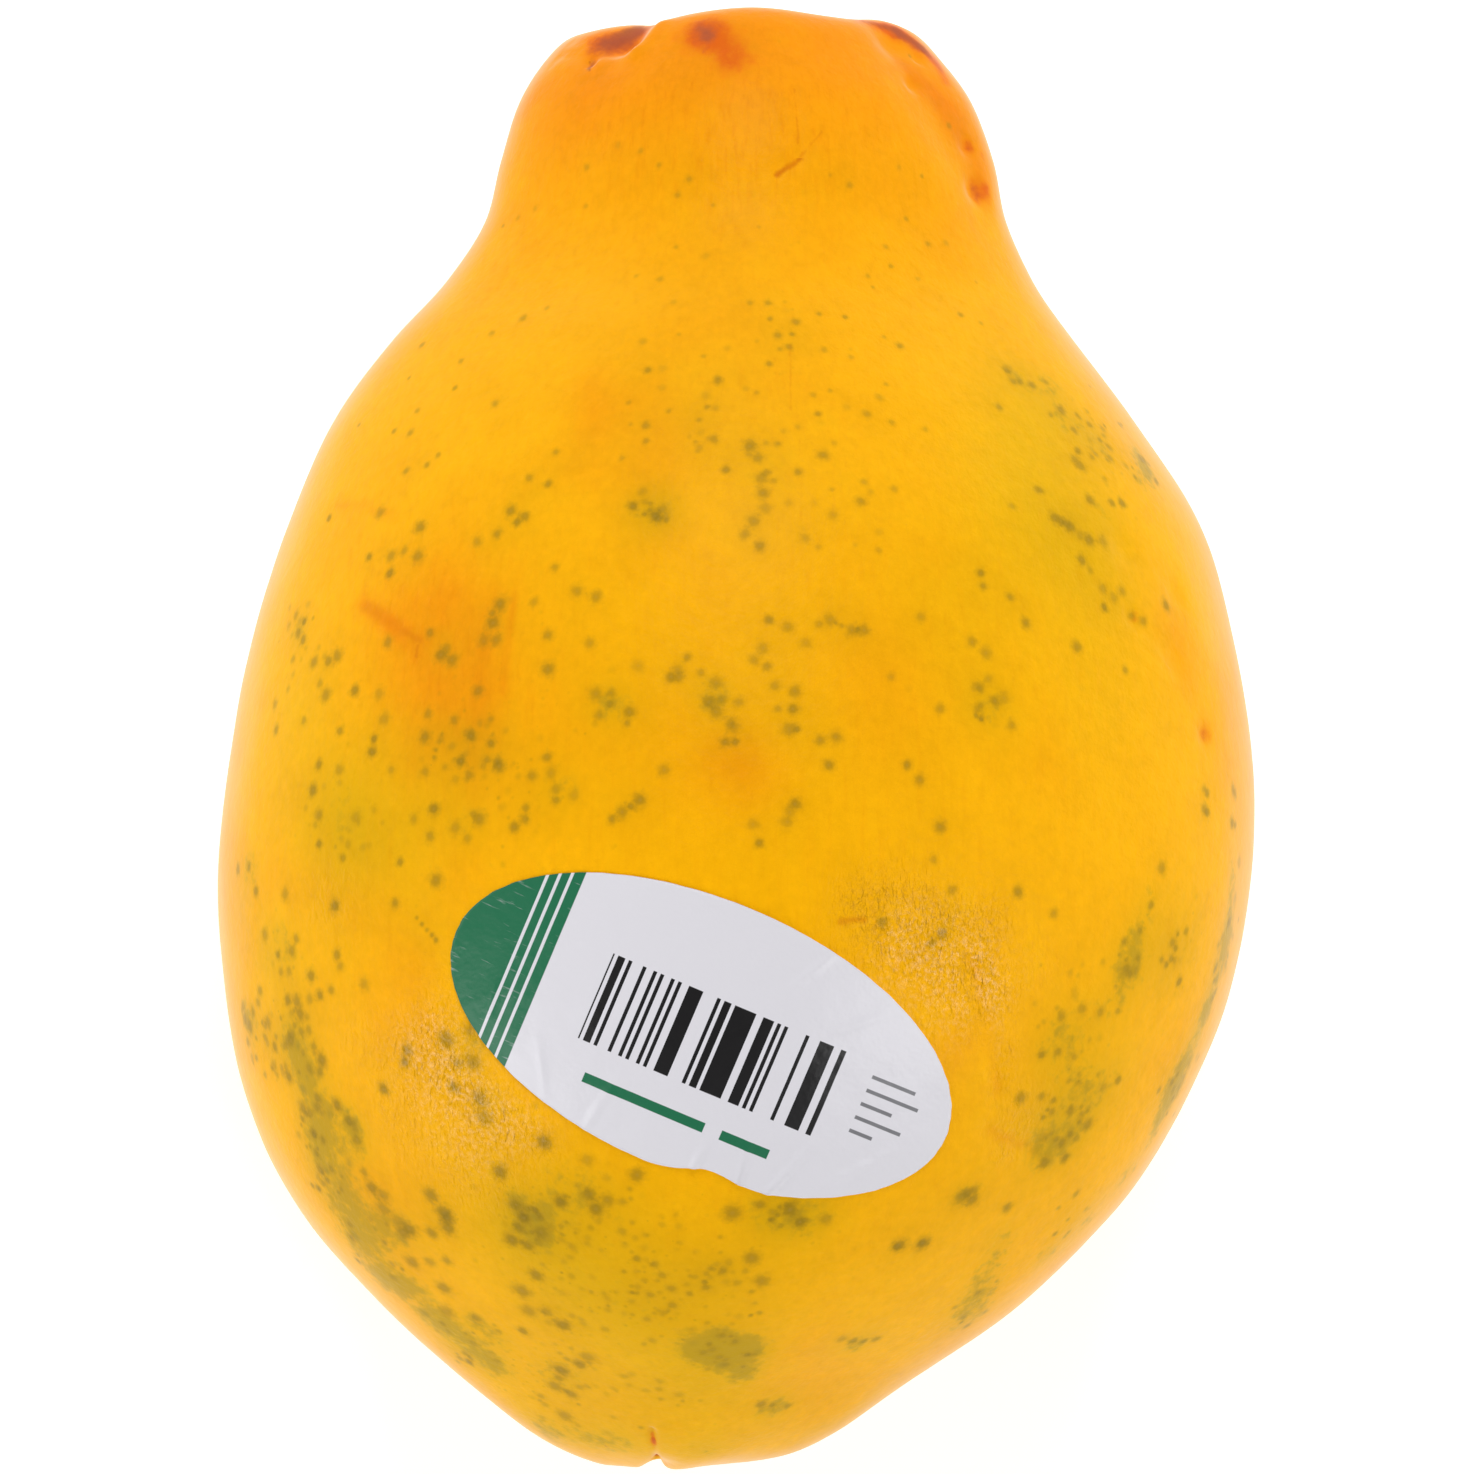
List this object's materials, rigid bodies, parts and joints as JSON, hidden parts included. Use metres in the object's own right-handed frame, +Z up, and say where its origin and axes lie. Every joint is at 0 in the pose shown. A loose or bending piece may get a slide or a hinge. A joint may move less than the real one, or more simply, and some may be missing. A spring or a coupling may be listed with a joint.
{
  "type": "papaya",
  "caption": "Whole ripe yellow-orange papaya with a short ribbed neck, lying on its side, with an oval paper label on its upper face",
  "frame": {"origin": "on the resting surface, under the middle of the fruit", "axes": "+Z up, +Y along the fruit from the blossom end to the stem end, +X to the right with the label up and the stem end away"},
  "size_m": [0.0965, 0.1354, 0.0912],
  "materials": {
    "skin": "satin",
    "paper": "gloss"
  },
  "bodies": {
    "root": {"fruit": "skin", "label": "paper"}
  },
  "joints": []
}
